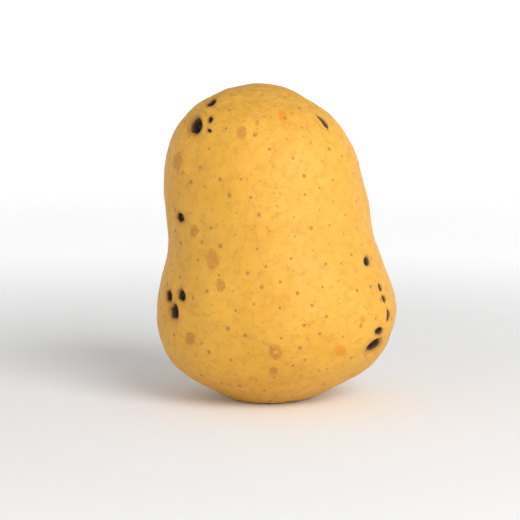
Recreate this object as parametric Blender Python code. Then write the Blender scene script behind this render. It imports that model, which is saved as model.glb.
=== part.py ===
"""A whole potato, one solid, standing on the small flat spot at its broad end.

Units are metres and +Z is up. The front looks along -Y, with +X on its right-hand side. The origin
is on the surface that the potato stands on, under the middle of its bounding box.

The body is a ball drawn out between a few sections: blunt and broad at the foot, slightly waisted,
and narrower at the crown, which leans to the left. Broad swellings and hollows make it less
regular, its eyes are pits with a brow above them, and the flat spot is pressed in last.
"""

import math
from typing import NamedTuple

import bmesh
import bpy
import numpy as np
from mathutils import Vector


class Section(NamedTuple):
    """One level section of the body. At an end it is the middle of the ellipsoid that the end caps."""

    rise: float  # share of the body's height, 0 at the foot and 1 at the crown
    width: float  # side to side
    depth: float  # front to back
    right: float  # how far its middle stands to the right of the body's axis
    back: float  # and how far behind it


class Swelling(NamedTuple):
    """A broad bump of the body, or a hollow where its height is negative."""

    azimuth: float  # degrees, 0 at the front and 90 on the right
    rise: float
    reach: float  # how far from its middle it has died away to about a third
    height: float


class Eye(NamedTuple):
    """A pit where a bud sits, with a brow along its upper edge."""

    azimuth: float
    rise: float
    length: float
    width: float
    depth: float
    tilt: float  # degrees that its length turns anticlockwise from level, seen from outside


HEIGHT = 0.100

CROWN = Section(rise=1.00, width=0.0680, depth=0.0640, right=-0.0038, back=0.0016)
SHOULDER = Section(rise=0.88, width=0.0494, depth=0.0450, right=-0.0033, back=0.0014)
HEAD = Section(rise=0.63, width=0.0644, depth=0.0588, right=-0.0007, back=0.0010)
WAIST = Section(rise=0.55, width=0.0640, depth=0.0606, right=0.0006, back=0.0006)
BELLY = Section(rise=0.29, width=0.0762, depth=0.0666, right=0.0025, back=-0.0006)
HAUNCH = Section(rise=0.16, width=0.0686, depth=0.0570, right=0.0015, back=-0.0004)
FOOT = Section(rise=0.00, width=0.0750, depth=0.0750, right=0.0004, back=0.0000)
SECTIONS = (CROWN, SHOULDER, HEAD, WAIST, BELLY, HAUNCH, FOOT)

SWELLINGS = (
    Swelling(azimuth=10, rise=0.34, reach=0.022, height=0.0008),
    Swelling(azimuth=-20, rise=0.62, reach=0.016, height=-0.0004),
    Swelling(azimuth=22, rise=0.76, reach=0.015, height=0.0004),
    Swelling(azimuth=160, rise=0.30, reach=0.018, height=0.0008),
    Swelling(azimuth=-146, rise=0.50, reach=0.015, height=-0.0008),
    Swelling(azimuth=172, rise=0.72, reach=0.016, height=0.0006),
    Swelling(azimuth=-124, rise=0.24, reach=0.014, height=0.0006),
)

EYES = (
    Eye(azimuth=-49, rise=0.870, length=0.0064, width=0.0046, depth=0.0015, tilt=144),
    Eye(azimuth=-50, rise=0.936, length=0.0046, width=0.0038, depth=0.0009, tilt=142),
    Eye(azimuth=-58, rise=0.593, length=0.0034, width=0.0028, depth=0.0010, tilt=36),
    Eye(azimuth=-63, rise=0.360, length=0.0038, width=0.0030, depth=0.0010, tilt=140),
    Eye(azimuth=-52, rise=0.369, length=0.0038, width=0.0030, depth=0.0010, tilt=157),
    Eye(azimuth=-56, rise=0.317, length=0.0044, width=0.0040, depth=0.0013, tilt=123),
    Eye(azimuth=57, rise=0.467, length=0.0034, width=0.0024, depth=0.0009, tilt=27),
    Eye(azimuth=55, rise=0.259, length=0.0036, width=0.0022, depth=0.0008, tilt=-9),
    Eye(azimuth=55, rise=0.212, length=0.0058, width=0.0040, depth=0.0014, tilt=2),
    Eye(azimuth=118, rise=0.640, length=0.0060, width=0.0034, depth=0.0013, tilt=6),
    Eye(azimuth=-128, rise=0.740, length=0.0056, width=0.0032, depth=0.0012, tilt=-8),
    Eye(azimuth=168, rise=0.500, length=0.0064, width=0.0036, depth=0.0014, tilt=4),
    Eye(azimuth=132, rise=0.290, length=0.0060, width=0.0034, depth=0.0013, tilt=-10),
    Eye(azimuth=-152, rise=0.220, length=0.0062, width=0.0036, depth=0.0013, tilt=8),
    Eye(azimuth=176, rise=0.090, length=0.0050, width=0.0030, depth=0.0010, tilt=-4),
)
BROW_SHARE = 0.35  # the brow's height over the depth of its eye
BROW_AT = 1.4  # how far from the middle of its eye the brow is highest, in half sizes of the eye
BROW_SPREAD = 0.45  # and how fast it dies away on both sides
PIT_REACH = 1.7  # where the pit runs out into the skin, in half sizes of the eye

STEM_SCAR = Eye(azimuth=150, rise=0.975, length=0.0064, width=0.0058, depth=0.0012, tilt=20)

FLAT_SPOT_RADIUS = 0.009
FLAT_SPOT_EASE = 0.0004  # how far the skin rises over the soft edge of the flat spot

BALL_CUTS = 21  # cuts along each edge of the cube that the ball is made from
FINE_ROUND_FOOT = math.radians(18)  # how far round the foot the ball is made finer
FINE_ROUND_EYE = (1.25, 0.80)  # and round each eye, twice over, in lengths of the eye
STRETCH = 0.040  # about how far one radian on the ball reaches on the body
SHORT_STEP = 0.01  # a step on the ball of radius 1, over which the slope of the skin is read
TINY = 1e-9  # keeps a division by zero out of the middle of an eye

SKIN_COLOUR = (0.90, 0.50, 0.14, 1.0)
SKIN_ROUGHNESS = 0.55


def clear_scene():
    """Removes what the file starts with."""
    for thing in list(bpy.data.objects):
        bpy.data.objects.remove(thing)


def new_collection(name):
    """An empty collection in the scene."""
    collection = bpy.data.collections.new(name)
    bpy.context.scene.collection.children.link(collection)
    return collection


def skin_material():
    """Plain golden skin."""
    material = bpy.data.materials.new("potato_skin")
    material.use_nodes = True
    shader = material.node_tree.nodes["Principled BSDF"]
    shader.inputs["Base Color"].default_value = SKIN_COLOUR
    shader.inputs["Roughness"].default_value = SKIN_ROUGHNESS
    shader.inputs["Metallic"].default_value = 0.0
    return material


def direction_of(azimuth, rise):
    """The unit vector that a place on the body comes from on the ball."""
    level = 2 * rise - 1
    across = math.sqrt(1 - level * level)
    turn = math.radians(azimuth)
    return Vector((across * math.sin(turn), -across * math.cos(turn), level))


def make_finer(ball, places):
    """Halves the edges of the ball near some directions, each with the angle that this reaches."""
    near = {v for v in ball.verts if any(v.co.angle(middle) < reach for middle, reach in places)}
    edges = [e for e in ball.edges if near.issuperset(e.verts)]
    bmesh.ops.subdivide_edges(ball, edges=edges, cuts=1, use_grid_fill=True)


def even_ball():
    """A ball of even quads, made from a cube, and finer at the foot and round each eye."""
    ball = bmesh.new()
    bmesh.ops.create_cube(ball, size=2)
    bmesh.ops.subdivide_edges(ball, edges=ball.edges[:], cuts=BALL_CUTS, use_grid_fill=True)
    for vertex in ball.verts:
        vertex.co = Vector(math.tan(c * math.pi / 4) for c in vertex.co).normalized()
    make_finer(ball, [(direction_of(0, 0), FINE_ROUND_FOOT)])
    for lengths in FINE_ROUND_EYE:
        eyes = (*EYES, STEM_SCAR)
        make_finer(ball, [(direction_of(e.azimuth, e.rise), lengths * e.length / STRETCH) for e in eyes])
    for vertex in ball.verts:
        vertex.co.normalize()
    return ball


def smooth_through(at, values, where):
    """Reads, at each of where, a smooth curve through (at, values) that is level at both ends."""
    slopes = np.gradient(values, at)
    slopes[[0, -1]] = 0
    i = np.clip(np.searchsorted(at, where, side="right") - 1, 0, len(at) - 2)
    step = at[i + 1] - at[i]
    t = (where - at[i]) / step
    ease = t * t * (3 - 2 * t)
    leaving = t * (1 - t) ** 2 * step * slopes[i]
    arriving = t * t * (1 - t) * step * slopes[i + 1]
    return values[i] + (values[i + 1] - values[i]) * ease + leaving - arriving


def flat_spot_sink():
    """How far below the flat spot the rounded foot would reach if it weren't pressed flat."""
    foot_curve = FOOT.width * FOOT.depth / (2 * HEIGHT)
    return FLAT_SPOT_RADIUS**2 / (2 * foot_curve) + FLAT_SPOT_EASE


def drawn_out(ball):
    """The ball's points moved out to the body's sections."""
    from_crown = np.arccos(np.clip(ball[:, 2], -1, 1))
    turn = np.arctan2(ball[:, 1], ball[:, 0])
    angles = np.array([math.acos(2 * s.rise - 1) for s in SECTIONS])
    ends = (CROWN, FOOT)
    spread = np.array([1 if s in ends else math.sin(a) for s, a in zip(SECTIONS, angles)])

    def read(sizes):
        return smooth_through(angles, np.array(sizes), from_crown)

    half_width = read([s.width for s in SECTIONS] / (2 * spread))
    half_depth = read([s.depth for s in SECTIONS] / (2 * spread))
    right = read([s.right for s in SECTIONS])
    back = read([s.back for s in SECTIONS])
    sink = flat_spot_sink()
    across = np.sin(from_crown)
    x = right + half_width * across * np.cos(turn)
    y = back + half_depth * across * np.sin(turn)
    z = (HEIGHT + sink) * (1 + np.cos(from_crown)) / 2 - sink
    return np.stack([x, y, z], axis=1)


def skin_at(azimuth, rise):
    """A point of the drawn-out body, with its outward normal and the level direction along it."""
    middle = direction_of(azimuth, rise)
    level = Vector((0, 0, 1)).cross(middle).normalized()
    up = middle.cross(level)
    near = [middle + SHORT_STEP * way for way in (Vector(), level, up)]
    here, beside, above = (Vector(p) for p in drawn_out(np.array([n.normalized() for n in near])))
    normal = (beside - here).cross(above - here).normalized()
    return here, normal, (beside - here).normalized()


def swell(points, normals):
    """Raises the swellings and sinks the hollows."""
    moved = points.copy()
    for bump in SWELLINGS:
        middle, _, _ = skin_at(bump.azimuth, bump.rise)
        away = np.linalg.norm(points - np.array(middle), axis=1) / bump.reach
        moved += normals * (bump.height * np.exp(-away * away))[:, None]
    return moved


def dig_eye(points, moved, eye, brow_share):
    """Sinks one pit into the skin, with a brow of brow_share of its depth along its upper edge."""
    middle, normal, level = skin_at(eye.azimuth, eye.rise)
    up = normal.cross(level)
    tilt = math.radians(eye.tilt)
    along = level * math.cos(tilt) + up * math.sin(tilt)
    across = normal.cross(along)
    if across.z < 0:
        across = -across
    offset = points - np.array(middle)
    facing = np.abs(offset @ np.array(normal)) < eye.length
    u = offset @ np.array(along) / (eye.length / 2)
    v = offset @ np.array(across) / (eye.width / 2)
    away = np.hypot(u, v)
    pit = np.clip(1 - away / PIT_REACH, 0, 1) ** 2 * (1 + 2 * away / PIT_REACH)
    above = np.clip(v / np.maximum(away, TINY), 0, 1) ** 2
    brow = above * np.exp(-(((away - BROW_AT) / BROW_SPREAD) ** 2))
    push = eye.depth * (brow_share * brow - pit) * facing
    moved += np.array(normal) * push[:, None]


def press_flat(points):
    """Presses what is below the surface it stands on flat, with a soft edge."""
    z = points[:, 2]
    over = np.clip(z + FLAT_SPOT_EASE, 0, 2 * FLAT_SPOT_EASE)
    points[:, 2] = np.where(z < FLAT_SPOT_EASE, over**2 / (4 * FLAT_SPOT_EASE), z)


def centre_on_origin(points):
    """Puts the origin under the middle of the bounding box."""
    middle = (points.min(axis=0) + points.max(axis=0)) / 2
    points[:, :2] -= middle[:2]


def points_of(mesh):
    """The mesh's vertices, as rows of three numbers."""
    flat = np.empty(len(mesh.vertices) * 3, np.float32)
    mesh.vertices.foreach_get("co", flat)
    return flat.reshape(-1, 3).astype(float)


def normals_of(mesh):
    """The normals at the mesh's vertices, as rows of three numbers."""
    flat = np.empty(len(mesh.vertices) * 3, np.float32)
    mesh.vertex_normals.foreach_get("vector", flat)
    return flat.reshape(-1, 3).astype(float)


def set_points(mesh, points):
    """Moves the mesh's vertices."""
    mesh.vertices.foreach_set("co", points.astype(np.float32).ravel())
    mesh.update()


def potato(collection):
    """The whole potato as one closed mesh."""
    ball = even_ball()
    mesh = bpy.data.meshes.new("potato")
    ball.to_mesh(mesh)
    ball.free()
    set_points(mesh, drawn_out(points_of(mesh)))
    body = points_of(mesh)
    points = swell(body, normals_of(mesh))
    for eye in EYES:
        dig_eye(body, points, eye, BROW_SHARE)
    dig_eye(body, points, STEM_SCAR, 0)
    press_flat(points)
    centre_on_origin(points)
    set_points(mesh, points)
    mesh.shade_smooth()
    mesh.materials.append(skin_material())
    thing = bpy.data.objects.new("potato", mesh)
    collection.objects.link(thing)
    return thing


def main():
    clear_scene()
    potato(new_collection("whole_potato"))


main()
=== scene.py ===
"""The looks of a whole potato: its golden skin with eyes, creases, blotches and corky dots, and a
plain pale stage with soft light.

Everything is in metres, with +Z up, the front along -Y and +X on its right-hand side. Places on the
skin are given by an azimuth, 0 degrees at the front and 90 on the right, and by a rise, which is 0
at the foot and 1 at the crown.
"""

import math
from typing import NamedTuple

import bmesh
import bpy
import numpy as np
from bpy.props import FloatProperty, FloatVectorProperty, IntProperty, PointerProperty
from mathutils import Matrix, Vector
from mathutils.bvhtree import BVHTree


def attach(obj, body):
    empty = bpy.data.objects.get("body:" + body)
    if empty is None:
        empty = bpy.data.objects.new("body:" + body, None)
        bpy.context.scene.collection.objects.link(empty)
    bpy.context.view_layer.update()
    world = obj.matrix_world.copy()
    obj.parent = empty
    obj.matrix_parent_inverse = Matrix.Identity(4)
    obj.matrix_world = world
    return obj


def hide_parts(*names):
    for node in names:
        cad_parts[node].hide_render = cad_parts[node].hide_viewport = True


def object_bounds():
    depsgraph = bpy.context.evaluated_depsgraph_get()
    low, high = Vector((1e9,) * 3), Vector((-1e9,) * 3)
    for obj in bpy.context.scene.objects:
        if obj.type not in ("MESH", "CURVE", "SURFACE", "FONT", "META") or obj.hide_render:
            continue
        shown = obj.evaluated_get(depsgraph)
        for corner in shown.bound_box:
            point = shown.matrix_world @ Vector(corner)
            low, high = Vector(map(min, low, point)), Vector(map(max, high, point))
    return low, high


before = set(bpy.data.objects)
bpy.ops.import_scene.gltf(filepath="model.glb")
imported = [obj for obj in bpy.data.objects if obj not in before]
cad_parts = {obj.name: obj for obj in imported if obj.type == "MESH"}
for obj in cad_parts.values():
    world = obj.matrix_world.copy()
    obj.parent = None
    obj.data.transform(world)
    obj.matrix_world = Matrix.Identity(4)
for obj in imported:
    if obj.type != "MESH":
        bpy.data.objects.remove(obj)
CAD_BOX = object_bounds()

bl_info = {
    "name": "Whole Potato",
    "version": (1, 0, 0),
    "blender": (4, 5, 0),
    "location": "3D View > Sidebar > Potato",
    "description": "Makes a whole potato with a finished skin, and a plain stage for it",
    "category": "Object",
}

MM = 0.001
NODE = "potato"
SLOT = "potato_skin"


class Eye(NamedTuple):
    """A sunken eye: a pit with buds in it, and a brow along its upper edge."""

    azimuth: float
    rise: float
    length: float
    width: float
    depth: float
    tilt: float  # degrees that its length turns anticlockwise from level, seen from outside
    brow: float = 0.3  # the brow's height over the pit's depth
    buds: int = 3


class Patch(NamedTuple):
    """A blotch that changes the colour of the skin but not its shape."""

    azimuth: float
    rise: float
    length: float
    width: float
    tilt: float


class Crease(NamedTuple):
    """A short bowed scratch in the skin."""

    azimuth: float
    rise: float
    length: float
    width: float
    depth: float
    tilt: float
    bow: float  # how far its middle stands off the line between its ends
    lean: float = 0.0  # how much narrower it is at its far end, as a share


EYES = (
    Eye(-49, 0.868, 6.2 * MM, 4.6 * MM, 1.3 * MM, 144, brow=0.30, buds=3),
    Eye(-50, 0.935, 3.8 * MM, 3.0 * MM, 0.6 * MM, 142, brow=0.20, buds=1),
    Eye(-58, 0.586, 3.3 * MM, 2.8 * MM, 0.8 * MM, 36, brow=0.20, buds=1),
    Eye(-63, 0.348, 3.8 * MM, 3.1 * MM, 0.8 * MM, 140, brow=0.20, buds=1),
    Eye(-52, 0.357, 3.8 * MM, 3.0 * MM, 0.8 * MM, 157, brow=0.25, buds=2),
    Eye(-56, 0.304, 4.5 * MM, 4.2 * MM, 1.0 * MM, 123, brow=0.25, buds=2),
    Eye(57, 0.458, 3.3 * MM, 2.4 * MM, 0.7 * MM, 27, brow=0.20, buds=1),
    Eye(55, 0.246, 3.7 * MM, 2.0 * MM, 0.7 * MM, -9, brow=0.20, buds=1),
    Eye(55, 0.198, 6.0 * MM, 4.2 * MM, 1.2 * MM, 2, brow=0.30, buds=3),
    Eye(118, 0.633, 5.6 * MM, 3.0 * MM, 1.0 * MM, 6, brow=0.50, buds=3),
    Eye(-128, 0.735, 5.2 * MM, 2.8 * MM, 1.0 * MM, -8, brow=0.50, buds=3),
    Eye(168, 0.491, 6.0 * MM, 3.2 * MM, 1.1 * MM, 4, brow=0.50, buds=3),
    Eye(132, 0.277, 5.6 * MM, 3.0 * MM, 1.0 * MM, -10, brow=0.50, buds=3),
    Eye(-152, 0.206, 5.8 * MM, 3.2 * MM, 1.0 * MM, 8, brow=0.50, buds=3),
    Eye(176, 0.073, 4.8 * MM, 2.6 * MM, 0.8 * MM, -4, brow=0.40, buds=2),
)
SPECKS = (
    Eye(-36, 0.888, 2.5 * MM, 1.5 * MM, 0.35 * MM, 110, brow=0.0, buds=0),
    Eye(-34, 0.853, 1.7 * MM, 1.0 * MM, 0.25 * MM, 147, brow=0.0, buds=0),
)
STEM_SCAR = Eye(150, 0.974, 5.4 * MM, 4.8 * MM, 0.8 * MM, 20, brow=0.0, buds=0)

CREASES = (
    Crease(61, 0.375, 3.1 * MM, 1.5 * MM, 0.35 * MM, 98, 0.2 * MM),
    Crease(61, 0.340, 3.0 * MM, 1.6 * MM, 0.35 * MM, 108, 0.2 * MM),
    Crease(62, 0.288, 4.8 * MM, 1.8 * MM, 0.40 * MM, 80, -1.0 * MM, lean=-0.3),
    Crease(52, 0.880, 6.6 * MM, 2.0 * MM, 0.45 * MM, 101, 1.0 * MM, lean=0.5),
)

TAN_PATCHES = (
    Patch(-11, 0.845, 4.6 * MM, 3.0 * MM, 90),
    Patch(-1, 0.879, 1.9 * MM, 1.2 * MM, 92),
    Patch(-56, 0.756, 5.9 * MM, 4.6 * MM, 127),
    Patch(-50, 0.724, 1.8 * MM, 1.5 * MM, 175),
    Patch(-46, 0.550, 3.7 * MM, 3.3 * MM, 65),
    Patch(-35, 0.470, 6.6 * MM, 4.2 * MM, 117),
    Patch(-28, 0.398, 3.9 * MM, 3.0 * MM, 108),
    Patch(-44, 0.228, 5.2 * MM, 3.6 * MM, 39),
    Patch(-37, 0.216, 1.6 * MM, 1.2 * MM, 32),
    Patch(0, 0.199, 5.5 * MM, 4.0 * MM, 105),
    Patch(0, 0.139, 3.5 * MM, 2.6 * MM, 80),
    Patch(14, 0.174, 1.4 * MM, 1.2 * MM, 123),
    Patch(104, 0.400, 5.2 * MM, 3.6 * MM, 80),
    Patch(144, 0.760, 5.0 * MM, 3.8 * MM, 100),
    Patch(-104, 0.520, 5.8 * MM, 4.0 * MM, 70),
    Patch(-168, 0.380, 5.4 * MM, 4.2 * MM, 95),
    Patch(-140, 0.860, 3.6 * MM, 2.8 * MM, 30),
    Patch(154, 0.150, 4.6 * MM, 3.6 * MM, 85),
)
PALE_PATCHES = (Patch(0, 0.199, 1.7 * MM, 1.1 * MM, 15),)
ORANGE_PATCHES = (
    Patch(19, 0.892, 4.4 * MM, 2.6 * MM, 81),
    Patch(28, 0.904, 1.5 * MM, 0.9 * MM, 54),
    Patch(24, 0.137, 1.5 * MM, 0.9 * MM, 119),
    Patch(32, 0.198, 4.6 * MM, 3.1 * MM, 144),
    Patch(43, 0.290, 2.6 * MM, 2.1 * MM, 158),
    Patch(92, 0.720, 3.6 * MM, 2.8 * MM, 60),
    Patch(-96, 0.180, 4.0 * MM, 3.2 * MM, 90),
    Patch(-176, 0.640, 3.4 * MM, 2.8 * MM, 40),
    Patch(116, 0.120, 3.0 * MM, 2.4 * MM, 90),
)

FINE_REACH = (2.2, 1.4)  # how far round an eye the mesh is halved, and halved again, in half lengths
SMALL_PATCH = 2.5 * MM  # a patch shorter than this needs a finer mesh too
FIELD_END = 4.0  # the highest value of a distance field, in half sizes of what it surrounds
FOOT_SINK = 0.2 * MM  # how far the skin is pressed down where it stands
FOOT_REACH = 3 * MM  # how high up the skin that pressing reaches
FOOT_EASE = 0.25 * MM  # how far the skin rises over the soft edge of the flat spot


# Node trees, written as sums


class Flow:
    """What one socket of a node tree gives. Sums on it add their Math nodes."""

    def __init__(self, wires, socket):
        self.wires = wires
        self.socket = socket

    def __add__(self, other):
        return self.wires.maths("ADD", self, other)

    def __sub__(self, other):
        return self.wires.maths("SUBTRACT", self, other)

    def __rsub__(self, other):
        return self.wires.maths("SUBTRACT", other, self)

    def __mul__(self, other):
        return self.wires.maths("MULTIPLY", self, other)

    __radd__ = __add__
    __rmul__ = __mul__


class Wires:
    """A node tree that is being wired up."""

    def __init__(self, tree):
        self.tree = tree
        tree.nodes.clear()

    def node(self, kind, inputs=None, **settings):
        """A new node: its settings first, then the values or links of its sockets."""
        made = self.tree.nodes.new(kind)
        for name, value in settings.items():
            setattr(made, name, value)
        for name, value in (inputs or {}).items():
            socket = self.pick(made.inputs, name)
            if isinstance(value, Flow):
                self.tree.links.new(value.socket, socket)
            else:
                socket.default_value = value
        return made

    @staticmethod
    def pick(sockets, name):
        """The socket in use that has this name or place."""
        if isinstance(name, int):
            return sockets[name]
        return next(s for s in sockets if s.name == name and s.enabled)

    def out(self, node, name=None):
        """What a node gives, by default at its first socket in use."""
        if name is None:
            return Flow(self, next(s for s in node.outputs if s.enabled))
        return Flow(self, self.pick(node.outputs, name))

    def maths(self, operation, *values):
        """A Math node on numbers and number sockets."""
        return self.out(self.node("ShaderNodeMath", dict(enumerate(values)), operation=operation))

    def vectors(self, operation, *values, give=None, **named):
        """A Vector Math node."""
        inputs = {**dict(enumerate(values)), **named}
        return self.out(self.node("ShaderNodeVectorMath", inputs, operation=operation), give)

    def between(self, value, low, high):
        """Rises smoothly from 0 at low to 1 at high, or falls where low is the larger."""
        inputs = {"Value": value, "From Min": low, "From Max": high}
        return self.out(self.node("ShaderNodeMapRange", inputs, interpolation_type="SMOOTHSTEP"))

    def noise(self, where, size, detail=2.0, roughness=0.5, give=None):
        """Cloudy noise with features of a size, in the unit that where is in."""
        inputs = {"Vector": where, "Scale": 1 / size, "Detail": detail, "Roughness": roughness}
        return self.out(self.node("ShaderNodeTexNoise", inputs), give)

    def sized_noise(self, where, size):
        """Cloudy noise whose size is a link."""
        inputs = {"Vector": where, "Scale": self.maths("DIVIDE", 1.0, size), "Detail": 3.0}
        return self.out(self.node("ShaderNodeTexNoise", inputs))

    def colours(self, factor, first, second):
        """Two colours mixed by a factor."""
        inputs = {"Factor": factor, "A": first, "B": second}
        return self.out(self.node("ShaderNodeMix", inputs, data_type="RGBA"), "Result")


def new_geometry_tree(name, inputs):
    """A Geometry Nodes tree with these named inputs, as its wires and what each input gives."""
    tree = bpy.data.node_groups.new(name, "GeometryNodeTree")
    wires = Wires(tree)
    for label, kind in {"Geometry": "Geometry", **inputs}.items():
        tree.interface.new_socket(name=label, in_out="INPUT", socket_type=f"NodeSocket{kind}")
    tree.interface.new_socket(name="Geometry", in_out="OUTPUT", socket_type="NodeSocketGeometry")
    entry = wires.node("NodeGroupInput")
    return wires, {label: wires.out(entry, label) for label in ("Geometry", *inputs)}


def end_geometry_tree(wires, geometry, material):
    """Ends a tree in real, smoothly shaded faces of one material."""
    smooth = wires.out(wires.node("GeometryNodeSetShadeSmooth", {"Geometry": geometry}))
    real = wires.out(wires.node("GeometryNodeRealizeInstances", {"Geometry": smooth}))
    coated = wires.node("GeometryNodeSetMaterial", {"Geometry": real, "Material": material})
    wires.node("NodeGroupOutput", {"Geometry": wires.out(coated)})


def shaped_by(thing, tree, values):
    """Runs a Geometry Nodes tree on an object and makes the result its own plain mesh."""
    modifier = thing.modifiers.new(tree.name, "NODES")
    modifier.node_group = tree
    for item in tree.interface.items_tree:
        if item.in_out == "INPUT" and item.name in values:
            modifier[item.identifier] = values[item.name]
    ready = thing.evaluated_get(bpy.context.evaluated_depsgraph_get())
    thing.data = bpy.data.meshes.new_from_object(ready)
    thing.modifiers.remove(modifier)


# The skin's shape


def wrapping_tree():
    """Draws a ball out to a body, evens out the body's flat faces, and makes the skin uneven."""
    inputs = {
        "Body": "Object",
        "Middle": "Vector",
        "Half Size": "Vector",
        "Smoothness": "Int",
        "Settling": "Int",
        "Lump Size": "Float",
        "Lump Height": "Float",
        "Ripple Size": "Float",
        "Ripple Height": "Float",
        "Seed": "Float",
        "Material": "Material",
    }
    wires, given = new_geometry_tree("Skin drawn round a body", inputs)
    body = wires.out(wires.node("GeometryNodeObjectInfo", {"Object": given["Body"]}), "Geometry")
    rounded = wires.node("GeometryNodeSubdivisionSurface", {"Mesh": body, "Level": given["Smoothness"]})

    place = wires.out(wires.node("GeometryNodeInputPosition"))
    normal = wires.out(wires.node("GeometryNodeInputNormal"))
    outward = wires.vectors("MULTIPLY", place, given["Half Size"])
    start = wires.vectors("MULTIPLY_ADD", outward, (2.0, 2.0, 2.0), given["Middle"])
    inward = wires.vectors("SCALE", outward, Scale=-1.0)
    aim = {"Target Geometry": wires.out(rounded), "Source Position": start, "Ray Direction": inward}
    hit = wires.out(wires.node("GeometryNodeRaycast", aim), "Hit Position")
    moved = {"Geometry": given["Geometry"], "Position": hit}
    drawn = wires.out(wires.node("GeometryNodeSetPosition", moved))

    held = wires.node("GeometryNodeCaptureAttribute", {"Geometry": drawn})
    held.capture_items.new("VECTOR", "Before")
    wires.tree.links.new(place.socket, held.inputs["Before"])
    before = wires.out(held, "Before")
    even = {"Value": place, "Iterations": given["Settling"]}
    even = wires.out(wires.node("GeometryNodeBlurAttribute", even, data_type="FLOAT_VECTOR"))
    settled = {"Geometry": wires.out(held, "Geometry"), "Position": even}
    settled = wires.out(wires.node("GeometryNodeSetPosition", settled))
    sunk = wires.vectors("DOT_PRODUCT", wires.vectors("SUBTRACT", place, before), normal, give="Value")
    kept = {"Geometry": settled, "Name": "hollow", "Value": sunk}
    kept = wires.out(wires.node("GeometryNodeStoreNamedAttribute", kept, data_type="FLOAT", domain="POINT"))

    shift = wires.out(wires.node("ShaderNodeCombineXYZ", {"Z": given["Seed"]}))
    where = wires.vectors("ADD", place, shift)
    lumps = (wires.sized_noise(where, given["Lump Size"]) - 0.5) * given["Lump Height"]
    ripples = (wires.sized_noise(where, given["Ripple Size"]) - 0.5) * given["Ripple Height"]
    offset = wires.vectors("SCALE", normal, Scale=lumps + ripples)
    uneven = {"Geometry": kept, "Offset": offset}
    uneven = wires.out(wires.node("GeometryNodeSetPosition", uneven))
    end_geometry_tree(wires, uneven, given["Material"])
    return wires.tree


def cork_tree():
    """Strews corky dots over the skin, clear of its eyes, for the material to draw.

    Each vertex keeps the way to it from its nearest dot, in radii of that dot, and how far it is.
    """
    inputs = {
        "Spacing": "Float",
        "Smallest": "Float",
        "Largest": "Float",
        "Seed": "Int",
        "Material": "Material",
    }
    wires, given = new_geometry_tree("Corky dots", inputs)
    skin = given["Geometry"]
    eye = {"Name": "eye"}
    eye = wires.out(wires.node("GeometryNodeInputNamedAttribute", eye, data_type="FLOAT"), "Attribute")
    clear = wires.out(wires.node("FunctionNodeCompare", {"A": eye, "B": 1.6}, data_type="FLOAT"))
    strewn = {"Mesh": skin, "Selection": clear, "Distance Min": given["Spacing"], "Seed": given["Seed"]}
    strewn["Density Max"] = 3e5
    strewn = wires.node("GeometryNodeDistributePointsOnFaces", strewn, distribute_method="POISSON")
    dots = wires.out(strewn, "Points")
    draw = {"Max": 1.0, "Seed": given["Seed"]}
    draw = wires.out(wires.node("FunctionNodeRandomValue", draw, data_type="FLOAT"))
    size = draw * draw * (given["Largest"] - given["Smallest"]) + given["Smallest"]

    place = wires.out(wires.node("GeometryNodeInputPosition"))
    nearest = wires.out(wires.node("GeometryNodeSampleNearest", {"Geometry": dots}, domain="POINT"))
    at_dot = {"Geometry": dots, "Value": place, "Index": nearest}
    at_dot = wires.node("GeometryNodeSampleIndex", at_dot, data_type="FLOAT_VECTOR", domain="POINT")
    of_dot = {"Geometry": dots, "Value": size, "Index": nearest}
    of_dot = wires.node("GeometryNodeSampleIndex", of_dot, data_type="FLOAT", domain="POINT")
    offset = wires.vectors("SUBTRACT", place, wires.out(at_dot))
    way = wires.vectors("SCALE", offset, Scale=wires.maths("DIVIDE", 1.0, wires.out(of_dot)))
    away = wires.maths("MINIMUM", wires.vectors("LENGTH", way, give="Value"), FIELD_END)
    kept = {"Geometry": skin, "Name": "cork", "Value": away}
    kept = wires.out(wires.node("GeometryNodeStoreNamedAttribute", kept, data_type="FLOAT", domain="POINT"))
    kept = {"Geometry": kept, "Name": "cork_way", "Value": way}
    kept = wires.node("GeometryNodeStoreNamedAttribute", kept, data_type="FLOAT_VECTOR", domain="POINT")
    end_geometry_tree(wires, wires.out(kept), given["Material"])
    return wires.tree


def merged_body():
    """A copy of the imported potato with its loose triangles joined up."""
    mesh = bpy.data.meshes.new("packed_body")
    joined = bmesh.new()
    joined.from_mesh(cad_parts[NODE].data)
    bmesh.ops.remove_doubles(joined, verts=joined.verts[:], dist=0.001 * MM)
    joined.to_mesh(mesh)
    joined.free()
    body = bpy.data.objects.new("packed_body", mesh)
    bpy.context.scene.collection.objects.link(body)
    return body


def points_of(mesh):
    """The mesh's vertices, as rows of three numbers."""
    flat = np.empty(len(mesh.vertices) * 3, np.float32)
    mesh.vertices.foreach_get("co", flat)
    return flat.reshape(-1, 3).astype(float)


def set_points(mesh, points):
    """Moves the mesh's vertices."""
    mesh.vertices.foreach_set("co", points.astype(np.float32).ravel())
    mesh.update()


def numbers_of(mesh, name):
    """A number that the mesh keeps at each vertex."""
    values = np.empty(len(mesh.vertices), np.float32)
    mesh.attributes[name].data.foreach_get("value", values)
    return values.astype(float)


def keep_numbers(mesh, name, values):
    """Keeps a number at each vertex, for the material to read."""
    kept = mesh.attributes.new(name, "FLOAT", "POINT")
    kept.data.foreach_set("value", values.astype(np.float32))


class Seat(NamedTuple):
    """Where something sits on the skin, and which way it lies there."""

    middle: np.ndarray
    normal: np.ndarray
    along: np.ndarray
    across: np.ndarray  # the side that looks up


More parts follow.
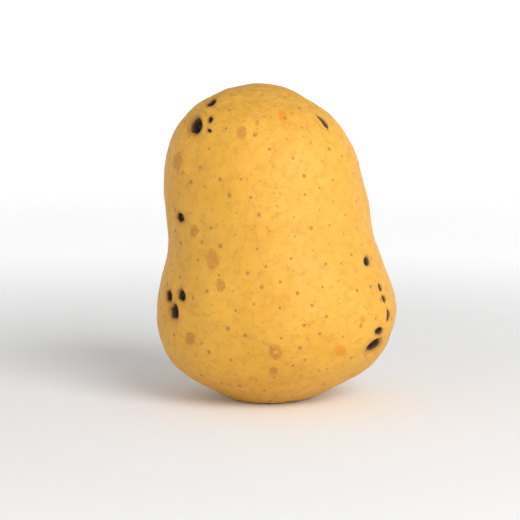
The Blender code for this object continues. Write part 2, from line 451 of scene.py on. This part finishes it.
def seat_on(points, tree, thing):
    """Seats a thing on the body, at its azimuth and rise."""
    low, high = (np.array(corner) for corner in CAD_BOX)
    height = low[2] + thing.rise * (high[2] - low[2])
    slice_half = 1.5 * MM
    level = points[np.abs(points[:, 2] - height) < slice_half]
    middle = (level.min(axis=0) + level.max(axis=0)) / 2
    half = (level.max(axis=0) - level.min(axis=0)) / 2
    turn = math.radians(thing.azimuth)
    way = np.array((math.sin(turn), -math.cos(turn), 0.0))
    guess = middle * (1, 1, 0) + half * way + (0, 0, height)
    place, normal, _, _ = tree.find_nearest(Vector(guess))
    return lying(np.array(place), np.array(normal), thing.tilt)


def lying(middle, normal, tilt):
    """A seat whose length is turned by a tilt from level."""
    level = np.cross((0, 0, 1), normal)
    level /= np.linalg.norm(level)
    up = np.cross(normal, level)
    turn = math.radians(tilt)
    along = level * math.cos(turn) + up * math.sin(turn)
    across = np.cross(normal, along)
    return Seat(middle, normal, along, across if across[2] > 0 else -across)


def settled(seat, thing, points, hollow):
    """Moves a seat to the middle of the pit that the body already has there."""
    away = np.linalg.norm(points - seat.middle, axis=1)
    near = away < thing.length * 0.6
    weight = np.clip(hollow[near], 0, None) ** 2
    if weight.sum() < (0.05 * MM) ** 2:
        return seat
    middle = (points[near] * weight[:, None]).sum(axis=0) / weight.sum()
    return seat._replace(middle=middle)


def laid_out(points, seat, thing):
    """Each point's place along and across a thing, in its half sizes, and whether it is near."""
    offset = points - seat.middle
    near = np.linalg.norm(offset, axis=1) < thing.length * FIELD_END
    near &= np.abs(offset @ seat.normal) < thing.length
    u = offset @ seat.along / (thing.length / 2)
    v = offset @ seat.across / (thing.width / 2)
    return u, v, near


def rises(values, low, high):
    """Rises smoothly from 0 at low to 1 at high, or falls where low is the larger."""
    share = np.clip((values - low) / (high - low), 0, 1)
    return share * share * (3 - 2 * share)


def fine_ball(fineness, spots, middle, half):
    """A ball of even quads, finer round each spot, which is a place on the body and a half length."""
    ball = bmesh.new()
    bmesh.ops.create_cube(ball, size=2)
    bmesh.ops.subdivide_edges(ball, edges=ball.edges[:], cuts=fineness, use_grid_fill=True)
    for vertex in ball.verts:
        vertex.co = Vector(math.tan(c * math.pi / 4) for c in vertex.co).normalized()
    ways = np.array([(place - middle) / half for place, _ in spots])
    ways /= np.linalg.norm(ways, axis=1)[:, None]
    angles = np.array([size / np.linalg.norm(place - middle) for place, size in spots])
    for reach in FINE_REACH:
        ball.verts.index_update()
        near = (np.array([v.co for v in ball.verts]) @ ways.T > np.cos(reach * angles)).any(axis=1)
        edges = [e for e in ball.edges if all(near[v.index] for v in e.verts)]
        bmesh.ops.subdivide_edges(ball, edges=edges, cuts=1, use_grid_fill=True)
        for vertex in ball.verts:
            vertex.co.normalize()
    mesh = bpy.data.meshes.new(SLOT)
    ball.to_mesh(mesh)
    ball.free()
    return mesh


def ragged(u, v, draw):
    """How far off the middle of an oval a point is, in half sizes, with an uneven rim."""
    turn = np.arctan2(v, u)
    first, second = draw.uniform(0, 2 * math.pi, 2)
    return np.hypot(u, v) * (1 + 0.035 * np.sin(3 * turn + first) + 0.03 * np.sin(5 * turn + second))


def dig_eye(points, push, fields, seat, eye, draw):
    """Digs one eye: a steep pit with a corky lip, a brow above it, faint wrinkles, and buds."""
    u, v, near = laid_out(points, seat, eye)
    away = ragged(u, v, draw)
    upward = np.clip(v / np.maximum(np.hypot(u, v), 0.01), -1, 1)
    pit = rises(away, 1.05, 0.70) * (0.80 + 0.20 * rises(away, 0.7, 0.0))
    dish = 0.22 * np.exp(-((away / 1.8) ** 2))
    lip = 0.13 * np.exp(-(((away - 1.16) / 0.14) ** 2))
    brow = eye.brow * np.exp(-(((away - 1.40) / 0.28) ** 2)) * rises(upward, -0.1, 0.9)
    wrinkles = 0.05 * np.sin(away * 13) * rises(away, 1.3, 1.6) * rises(away, 2.4, 1.8)
    height = lip + brow + wrinkles - pit - dish
    bud = np.zeros(len(points))
    for number in range(eye.buds):
        turn = 2 * math.pi * (number + draw.uniform(-0.2, 0.2)) / eye.buds
        out = 0.0 if eye.buds == 1 else draw.uniform(0.24, 0.32)
        size = draw.uniform(0.24, 0.34)
        off = np.hypot(u - out * math.cos(turn), (v - out * math.sin(turn))) / size
        bud = np.maximum(bud, np.sqrt(np.clip(1 - off * off, 0, 1)) * draw.uniform(0.7, 1.0))
    height += 0.40 * bud
    push += np.where(near, eye.depth * height, 0)[:, None] * seat.normal
    fields["eye"] = np.where(near, np.minimum(fields["eye"], away), fields["eye"])
    fields["bud"] = np.where(near, np.maximum(fields["bud"], bud), fields["bud"])


def dig_stem_scar(points, push, fields, seat, scar, draw):
    """Digs the scar of the stem: a round dimple with a torn corky stub and rays."""
    u, v, near = laid_out(points, seat, scar)
    away = ragged(u, v, draw)
    turn = np.arctan2(v, u)
    dimple = rises(away, 1.3, 0.3)
    stub = rises(away, 0.42, 0.26) * (0.8 + 0.2 * np.sin(turn * 5))
    rays = 0.10 * np.sin(turn * 9 + np.sin(away * 5)) * rises(away, 0.4, 0.7) * rises(away, 1.6, 1.0)
    height = 0.7 * stub + rays + 0.15 * np.exp(-(((away - 1.4) / 0.3) ** 2)) - dimple
    push += np.where(near, scar.depth * height, 0)[:, None] * seat.normal
    fields["stem"] = np.where(near, np.minimum(fields["stem"], away), fields["stem"])


def scratch(points, push, fields, seat, crease):
    """Scratches one crease, with tapering ends and thin raised edges."""
    u, v, near = laid_out(points, seat, crease)
    bowed = v - crease.bow * (1 - u * u) / (crease.width / 2)
    taper = rises(np.abs(u), 1.0, 0.45) * np.clip(1 - crease.lean * u, 0.2, 1)
    away = np.abs(bowed) / np.maximum(taper, 0.15) + 4 * np.clip(np.abs(u) - 0.95, 0, None)
    height = 0.2 * np.exp(-(((away - 1.5) / 0.4) ** 2)) - rises(away, 1.2, 0.1)
    push += np.where(near, crease.depth * height * taper**1.5, 0)[:, None] * seat.normal
    fields["crease"] = np.where(near, np.minimum(fields["crease"], away), fields["crease"])


def mark_patch(points, fields, name, seat, patch):
    """Keeps how far each point is from the middle of a patch, in its half sizes."""
    u, v, near = laid_out(points, seat, patch)
    fields[name] = np.where(near, np.minimum(fields[name], np.hypot(u, v)), fields[name])


def press_flat(points):
    """Presses the skin flat where it stands, with a soft edge."""
    z = points[:, 2] - FOOT_SINK * rises(points[:, 2], FOOT_REACH, 0)
    over = np.clip(z + FOOT_EASE, 0, 2 * FOOT_EASE)
    points[:, 2] = np.where(z < FOOT_EASE, over**2 / (4 * FOOT_EASE), z)


def finish_surface(mesh, body_points, tree, seed):
    """Digs the eyes, the stem scar and the creases, and marks the patches."""
    points = points_of(mesh)
    hollow = numbers_of(mesh, "hollow")
    draw = np.random.default_rng(seed)
    names = ("eye", "bud", "stem", "crease", "tan", "pale", "orange")
    fields = {name: np.full(len(points), FIELD_END) for name in names}
    fields["bud"][:] = 0
    push = np.zeros_like(points)
    for eye in EYES:
        seat = settled(seat_on(body_points, tree, eye), eye, points, hollow)
        dig_eye(points, push, fields, seat, eye, draw)
    for speck in SPECKS:
        dig_eye(points, push, fields, seat_on(body_points, tree, speck), speck, draw)
    scar = settled(seat_on(body_points, tree, STEM_SCAR), STEM_SCAR, points, hollow)
    dig_stem_scar(points, push, fields, scar, STEM_SCAR, draw)
    for crease in CREASES:
        scratch(points, push, fields, seat_on(body_points, tree, crease), crease)
    for name, patches in (("tan", TAN_PATCHES), ("pale", PALE_PATCHES), ("orange", ORANGE_PATCHES)):
        for patch in patches:
            mark_patch(points, fields, name, seat_on(body_points, tree, patch), patch)
    points += push
    set_points(mesh, points)
    for name, values in fields.items():
        keep_numbers(mesh, name, values)


def make_skin(shape, material):
    """The whole skin as one closed mesh."""
    body = merged_body()
    body_points = points_of(body.data)
    tree = BVHTree.FromPolygons([tuple(p) for p in body_points], [f.vertices[:] for f in body.data.polygons])
    low, high = (np.array(corner) for corner in CAD_BOX)
    middle, half = (low + high) / 2, (high - low) / 2
    small = [patch for patch in (*TAN_PATCHES, *PALE_PATCHES, *ORANGE_PATCHES) if patch.length < SMALL_PATCH]
    fine = (*EYES, *SPECKS, STEM_SCAR, *CREASES, *small)
    spots = [(seat_on(body_points, tree, thing).middle, thing.length / 2) for thing in fine]
    skin = bpy.data.objects.new(SLOT, fine_ball(shape.fineness, spots, middle, half))
    bpy.context.scene.collection.objects.link(skin)
    wrapping = {
        "Body": body,
        "Middle": tuple(middle),
        "Half Size": tuple(half),
        "Smoothness": 2,
        "Settling": shape.settling,
        "Lump Size": shape.lump_size,
        "Lump Height": shape.lump_height,
        "Ripple Size": shape.ripple_size,
        "Ripple Height": shape.ripple_height,
        "Seed": float(shape.seed),
        "Material": material,
    }
    shaped_by(skin, wrapping_tree(), wrapping)
    finish_surface(skin.data, body_points, tree, shape.seed)
    dots = {
        "Spacing": shape.dot_spacing,
        "Smallest": shape.smallest_dot,
        "Largest": shape.largest_dot,
        "Seed": shape.seed,
        "Material": material,
    }
    shaped_by(skin, cork_tree(), dots)
    points = points_of(skin.data)
    press_flat(points)
    set_points(skin.data, points)
    bpy.data.objects.remove(body)
    return skin


# The skin's material


def moved_about(wires, where, size, amount):
    """A place pushed about by noise, so that what is drawn there has no regular outline."""
    push = wires.vectors("SUBTRACT", wires.noise(where, size, give="Color"), (0.5, 0.5, 0.5))
    return wires.vectors("MULTIPLY_ADD", push, (amount, amount, amount), where)


def skin_marks(wires, where):
    """How much of each mark there is at each point of the skin, from 0 to 1, with where in mm."""

    def kept(name, give="Fac"):
        return wires.out(wires.node("ShaderNodeAttribute", attribute_name=name), give)

    torn = (wires.noise(where, 1.3, detail=4.0, roughness=0.62) - 0.5) * 0.9
    frayed = (wires.noise(where, 0.45, detail=3.0, roughness=0.6) - 0.5) * 0.9
    mottle = wires.noise(where, 2.6, detail=5.0, roughness=0.62)
    clouds = wires.noise(where, 15.0, detail=3.0)

    flakes = wires.vectors("MULTIPLY", moved_about(wires, where, 5.0, 2.5), (0.8, 0.8, 1.5))
    flakes = wires.noise(flakes, 1.7, detail=7.0, roughness=0.74)
    cells = {"Vector": moved_about(wires, where, 1.6, 1.5), "Scale": 1 / 3.4}
    net = wires.out(wires.node("ShaderNodeTexVoronoi", cells, feature="DISTANCE_TO_EDGE"))
    net = wires.between(net, 0.060, 0.004) * wires.between(mottle, 0.40, 0.62)
    cells = {"Vector": moved_about(wires, where, 0.7, 0.5), "Scale": 1 / 1.5}
    pores = wires.out(wires.node("ShaderNodeTexVoronoi", cells), "Distance")

    guard = kept("cork") * 0.35  # stops false dots half-way between two true ones
    way = moved_about(wires, kept("cork_way", "Vector"), 1.1, 0.9)
    cork = wires.maths("MAXIMUM", wires.vectors("LENGTH", way, give="Value"), guard)
    eye = kept("eye")
    crease = kept("crease") + torn * 0.5 + frayed * 0.5
    specks = wires.noise(where, 0.75, detail=5.0, roughness=0.7)
    tan = kept("tan") + torn * 1.5 + frayed * 0.6
    pale = kept("pale") + torn * 0.6 + frayed * 0.6
    orange = kept("orange") + torn * 1.2 + frayed * 0.3
    eye_wall = eye + torn * 0.35 + frayed * 0.20
    pit = wires.between(eye_wall, 1.10, 0.90)
    up = wires.out(wires.node("ShaderNodeSeparateXYZ", {"Vector": where}), "Z")
    ends = wires.between(up, 78.0, 98.0) + wires.between(up, 14.0, 2.0)
    flaky_places = wires.between(clouds + ends * 0.2, 0.36, 0.60)
    return {
        "clouds": wires.between(clouds, 0.32, 0.68),
        "mottle": mottle,
        "grain": wires.noise(where, 0.42, detail=4.0, roughness=0.65),
        "flakes": wires.between(flakes + ends * 0.05, 0.52, 0.66) * flaky_places,
        "net": net * wires.between(clouds - ends * 0.2, 0.68, 0.40),
        "pores": wires.between(pores, 0.20, 0.10) * wires.between(mottle, 0.44, 0.56),
        "cork": wires.between(cork + frayed * 0.3, 1.15, 0.70),
        "ring": wires.between(cork + torn * 0.8, 2.4, 1.2),
        # pit and floor mark where the eyes' colour turns dark, which is partly painted shade.
        "pit": pit,
        "floor": wires.between(eye_wall, 1.02, 0.60),
        "lip": wires.between(eye + torn * 0.7, 1.50, 1.20) * (1 - pit),
        "halo": wires.between(eye + torn * 0.9, 2.5, 1.1),
        "bud": kept("bud"),
        # crease marks the painted shade inside each crease.
        "crease": wires.between(crease, 1.05, 0.35),
        "crease_edge": wires.between(crease, 1.9, 0.9),
        "scar": wires.between(kept("stem") + torn * 0.6, 1.3, 0.5),
        "tan": wires.between(tan, 1.20, 0.80) * (0.55 + wires.between(specks, 0.40, 0.60) * 0.45),
        "pale": wires.between(pale, 1.20, 0.60),
        "orange": wires.between(orange, 1.30, 0.75) * (0.70 + wires.between(specks, 0.36, 0.64) * 0.25),
    }


def skin_colour(wires, marks, colours):
    """The colour of the skin, from its clean gold to what is darkest in it: its eyes and creases, where shade
    is painted.
    """

    def mix(amount, under, name):
        return wires.colours(amount, under, tuple(getattr(colours, name)))

    gold = mix(marks["clouds"], tuple(colours.gold), "pale_gold")
    gold = mix(wires.between(marks["mottle"], 0.44, 0.74) * 0.60, gold, "deep_gold")
    gold = mix(marks["flakes"] * 0.55, gold, "scurf")
    gold = mix(marks["net"] * 0.55, gold, "scurf")
    gold = mix(marks["pores"] * 0.50, gold, "cork")
    gold = mix(marks["tan"], gold, "tan")
    gold = mix(marks["pale"] * 0.75, gold, "pale_gold")
    gold = mix(marks["orange"], gold, "orange")
    gold = mix(marks["ring"] * 0.30, gold, "scurf")
    gold = mix(marks["cork"] * 0.62, gold, "cork")
    gold = mix(marks["halo"] * 0.40, gold, "tan")
    gold = mix(marks["lip"] * 0.55, gold, "cork")
    gold = mix(marks["scar"] * 0.85, gold, "cork")
    gold = mix(marks["crease_edge"] * 0.75, gold, "cork")
    # Partly painted shade: the eyes darken from dark brown walls to near-black bottoms, deeper into each pit,
    # beyond the brown that eyes have of their own.
    wall = mix(marks["floor"], tuple(colours.eye_wall), "eye")
    wall = mix(marks["bud"] * 0.30, wall, "cork")
    gold = wires.colours(marks["pit"], gold, wall)
    # Painted shade: the creases are filled with the near-black of the eye bottoms.
    return mix(marks["crease"] * 0.94, gold, "eye")


def skin_relief(marks):
    """The height of the skin's finest relief, in millimetres."""
    dry = marks["cork"] * 0.8 + marks["scar"] + marks["lip"] * 0.6 + marks["pit"] * 0.6 + marks["tan"] * 0.35
    height = marks["mottle"] * 0.10 + marks["grain"] * (0.035 + dry * 0.12)
    height = height + marks["flakes"] * 0.035 + marks["cork"] * 0.06
    return height - marks["net"] * 0.05 - marks["pores"] * 0.05


def skin_material(colours):
    """Golden skin, mottled and slightly scurfy, with painted shade darkening its eyes and creases."""
    material = bpy.data.materials.new("golden_potato_skin")
    material.use_nodes = True
    wires = Wires(material.node_tree)
    where = wires.out(wires.node("ShaderNodeTexCoord"), "Object")
    marks = skin_marks(wires, wires.vectors("SCALE", where, Scale=1 / MM))
    dull = marks["flakes"] * 0.14 + marks["pit"] * 0.30 + marks["cork"] * 0.15 + marks["crease"] * 0.25
    dull = dull + marks["tan"] * 0.10 + marks["scar"] * 0.20
    roughness = (marks["mottle"] - 0.5) * 0.20 + colours.roughness + dull
    bump = {"Height": skin_relief(marks), "Distance": MM, "Strength": 1.0}
    bump = wires.out(wires.node("ShaderNodeBump", bump))
    skin = {"Base Color": skin_colour(wires, marks, colours), "Roughness": roughness, "Normal": bump}
    skin["Specular IOR Level"] = 0.28
    skin = wires.out(wires.node("ShaderNodeBsdfPrincipled", skin))
    wires.node("ShaderNodeOutputMaterial", {"Surface": skin})
    return material


# The stage


def paper_material(stage):
    """Pale seamless paper, which glows by itself away from the potato: painted light."""
    material = bpy.data.materials.new("pale_paper")
    material.use_nodes = True
    wires = Wires(material.node_tree)
    where = wires.out(wires.node("ShaderNodeTexCoord"), "Object")
    fibres = wires.noise(where, 0.0012, detail=4.0)
    shade = wires.colours(fibres, tuple(stage.paper), tuple(0.985 * c for c in stage.paper[:3]) + (1.0,))
    away = wires.vectors("LENGTH", where, give="Value")
    # Painted light: the paper glows, rising from none near the potato to full half a metre away.
    glow = wires.colours(wires.between(away, 0.10, 0.50), (0.0, 0.0, 0.0, 1.0), (1.0, 1.0, 1.0, 1.0))
    paper = {"Base Color": shade, "Roughness": 0.9, "Specular IOR Level": 0.1}
    paper.update({"Emission Color": glow, "Emission Strength": stage.paper_glow})
    paper = wires.out(wires.node("ShaderNodeBsdfPrincipled", paper))
    wires.node("ShaderNodeOutputMaterial", {"Surface": paper})
    return material


def make_backdrop(stage):
    """A round paper tent: a flat floor that curves up into a wall all round."""
    floor, bend, wall, steps = 0.9, 0.4, 0.6, 16
    quarter = [math.pi / 2 * step / steps for step in range(steps + 1)]
    profile = [(0.0, 0.0), (floor, 0.0)]
    profile += [(floor + bend * math.sin(a), bend * (1 - math.cos(a))) for a in quarter[1:]]
    profile += [(floor + bend, wall)]
    bowl = bmesh.new()
    line = [bowl.verts.new((x, 0, z)) for x, z in profile]
    edges = [bowl.edges.new(pair) for pair in zip(line, line[1:])]
    turn = {"axis": (0, 0, 1), "cent": (0, 0, 0), "angle": 2 * math.pi, "steps": 96}
    bmesh.ops.spin(bowl, geom=line + edges, use_merge=True, **turn)
    bmesh.ops.remove_doubles(bowl, verts=bowl.verts[:], dist=MM / 10)
    bmesh.ops.recalc_face_normals(bowl, faces=bowl.faces[:])
    mesh = bpy.data.meshes.new("backdrop")
    bowl.to_mesh(mesh)
    bowl.free()
    mesh.shade_smooth()
    mesh.materials.append(paper_material(stage))
    backdrop = bpy.data.objects.new("backdrop", mesh)
    bpy.context.scene.collection.objects.link(backdrop)
    return backdrop


def turned_to(thing, place, target):
    """Puts a lamp or a camera somewhere and points it at a target."""
    thing.location = place
    thing.rotation_euler = (Vector(target) - Vector(place)).to_track_quat("-Z", "Y").to_euler()


def make_lamp(name, power, size, azimuth, elevation, distance):
    """A square soft lamp that points at the middle of the potato."""
    lamp = bpy.data.lights.new(name, "AREA")
    lamp.energy = power
    lamp.size = size
    thing = bpy.data.objects.new(name, lamp)
    bpy.context.scene.collection.objects.link(thing)
    turn, climb = math.radians(azimuth), math.radians(elevation)
    way = Vector((math.sin(turn) * math.cos(climb), -math.cos(turn) * math.cos(climb), math.sin(climb)))
    middle = (CAD_BOX[0] + CAD_BOX[1]) / 2
    turned_to(thing, middle + way * distance, middle)
    thing.visible_camera = False
    return thing


def make_world(stage):
    """Even light from all round."""
    world = bpy.data.worlds.new("room")
    bpy.context.scene.world = world
    world.use_nodes = True
    wires = Wires(world.node_tree)
    sky = wires.node("ShaderNodeBackground", {"Color": (1.0, 1.0, 1.0, 1.0), "Strength": stage.room_light})
    wires.node("ShaderNodeOutputWorld", {"Surface": wires.out(sky)})


def make_camera(stage):
    """A long lens at the front, a little above the potato's middle."""
    lens = bpy.data.cameras.new("camera")
    lens.lens = stage.lens
    lens.clip_start, lens.clip_end = 0.01, 10.0
    camera = bpy.data.objects.new("camera", lens)
    bpy.context.scene.collection.objects.link(camera)
    climb = stage.elevation
    target = Vector((stage.aim_right, 0.0, stage.aim_up))
    back = Vector((0.0, -math.cos(climb), math.sin(climb)))
    distance = stage.view_width * lens.lens / lens.sensor_width
    turned_to(camera, target + back * distance, target)
    bpy.context.scene.camera = camera


# What a user can change, and the tools that make each thing


def length(name, description, default):
    """A length in metres."""
    return FloatProperty(
        name=name, description=description, default=default, min=0.0, precision=5, unit="LENGTH"
    )


def colour(name, description, default):
    """A colour, in linear light."""
    return FloatVectorProperty(
        name=name, description=description, default=(*default, 1.0), size=4, subtype="COLOR", min=0, max=1
    )


class PotatoShape(bpy.types.PropertyGroup):
    """How fine and how uneven the skin is."""

    fineness: IntProperty(
        name="Fineness", description="Cuts along each edge of the cube that the skin grows from", default=89
    )
    settling: IntProperty(
        name="Settling", description="Rounds of evening out the body's flat faces", default=36
    )
    lump_size: length("Lump size", "Width of the broad lumps", 0.016)
    lump_height: length("Lump height", "Height of the broad lumps", 0.0020)
    ripple_size: length("Ripple size", "Width of the small ripples", 0.0045)
    ripple_height: length("Ripple height", "Height of the small ripples", 0.00045)
    dot_spacing: length("Dot spacing", "Least distance between two corky dots", 0.0054)
    smallest_dot: length("Smallest dot", "Radius of the smallest corky dots", 0.00018)
    largest_dot: length("Largest dot", "Radius of the largest corky dots", 0.00065)
    seed: IntProperty(name="Seed", description="Changes what is left to chance", default=12)


class PotatoColours(bpy.types.PropertyGroup):
    """The colours of the skin."""

    gold: colour("Gold", "The skin's own colour", (0.67, 0.340, 0.037))
    pale_gold: colour("Pale gold", "Where the skin is thinner", (0.71, 0.376, 0.048))
    deep_gold: colour("Deep gold", "The darker mottles", (0.61, 0.280, 0.027))
    scurf: colour("Scurf", "Dry, flaky skin", (0.53, 0.256, 0.053))
    tan: colour("Tan", "The tan blotches", (0.50, 0.208, 0.030))
    orange: colour("Orange", "The orange blotches", (0.67, 0.240, 0.011))
    cork: colour("Cork", "The corky dots, the lips of the eyes and the stem scar", (0.29, 0.136, 0.036))
    # Partly painted shade: eye_wall and eye darken the pits of the eyes, and eye also fills the creases.
    eye_wall: colour("Eye wall", "The sides of the eyes", (0.100, 0.045, 0.015))
    eye: colour("Eye", "The bottom of the eyes", (0.014, 0.008, 0.005))
    roughness: FloatProperty(
        name="Roughness", description="How dull clean skin is", default=0.52, min=0, max=1, subtype="FACTOR"
    )


class PotatoStage(bpy.types.PropertyGroup):
    """The paper, the light and the camera."""

    paper: colour("Paper", "The floor and the backdrop", (0.93, 0.93, 0.93))
    room_light: FloatProperty(name="Room light", description="Strength of the light all round", default=0.40)
    key_power: FloatProperty(
        name="Key power", description="The main lamp, at the front on the right", default=9.6, unit="POWER"
    )
    # Painted light: the paper's own glow away from the potato.
    paper_glow: FloatProperty(
        name="Paper glow", description="Light that comes through the paper away from the potato", default=0.30
    )
    lens: FloatProperty(name="Lens", description="Focal length in millimetres", default=100.0)
    elevation: FloatProperty(
        name="Elevation", description="How far up the camera is", default=math.radians(6), subtype="ANGLE"
    )
    view_width: length("View width", "Width of the view at the potato", 0.1641)
    aim_right: FloatProperty(
        name="Aim right", description="Where the camera points, left to right", default=-0.0052, unit="LENGTH"
    )
    aim_up: length("Aim up", "How high the camera points", 0.0442)


class POTATO_OT_make_skin(bpy.types.Operator):
    """Make the potato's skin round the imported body"""

    bl_idname = "potato.make_skin"
    bl_label = "Make Potato Skin"
    bl_options = {"REGISTER", "UNDO"}

    def execute(self, context):
        scene = context.scene
        skin = make_skin(scene.potato_shape, skin_material(scene.potato_colours))
        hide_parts(NODE)
        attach(skin, "root")
        return {"FINISHED"}


class POTATO_OT_make_stage(bpy.types.Operator):
    """Make the paper backdrop, the soft lamp and the camera"""

    bl_idname = "potato.make_stage"
    bl_label = "Make Stage"
    bl_options = {"REGISTER", "UNDO"}

    def execute(self, context):
        stage = context.scene.potato_stage
        make_backdrop(stage)
        make_lamp("key_lamp", stage.key_power, 0.66, azimuth=34, elevation=29, distance=1.10)
        make_world(stage)
        make_camera(stage)
        context.scene.view_settings.view_transform = "Standard"
        return {"FINISHED"}


class POTATO_PT_panel(bpy.types.Panel):
    """Lists what can be changed, above the tools that use it"""

    bl_idname = "POTATO_PT_panel"
    bl_label = "Whole Potato"
    bl_space_type = "VIEW_3D"
    bl_region_type = "UI"
    bl_category = "Potato"

    def draw(self, context):
        scene = context.scene
        tools = (
            (POTATO_OT_make_skin, (scene.potato_shape, scene.potato_colours)),
            (POTATO_OT_make_stage, (scene.potato_stage,)),
        )
        for tool, groups in tools:
            box = self.layout.box()
            for group in groups:
                for name in group.__annotations__:
                    box.prop(group, name)
            box.operator(tool.bl_idname)


CLASSES = (
    PotatoShape,
    PotatoColours,
    PotatoStage,
    POTATO_OT_make_skin,
    POTATO_OT_make_stage,
    POTATO_PT_panel,
)


def register():
    """Adds the tools, and the settings that they read, to Blender."""
    for each in CLASSES:
        bpy.utils.register_class(each)
    bpy.types.Scene.potato_shape = PointerProperty(type=PotatoShape)
    bpy.types.Scene.potato_colours = PointerProperty(type=PotatoColours)
    bpy.types.Scene.potato_stage = PointerProperty(type=PotatoStage)


def unregister():
    """Takes the tools and their settings out again."""
    del bpy.types.Scene.potato_stage
    del bpy.types.Scene.potato_colours
    del bpy.types.Scene.potato_shape
    for each in reversed(CLASSES):
        bpy.utils.unregister_class(each)


def main():
    """Makes everything."""
    register()
    bpy.ops.potato.make_skin()
    bpy.ops.potato.make_stage()


if __name__ == "__main__":
    main()
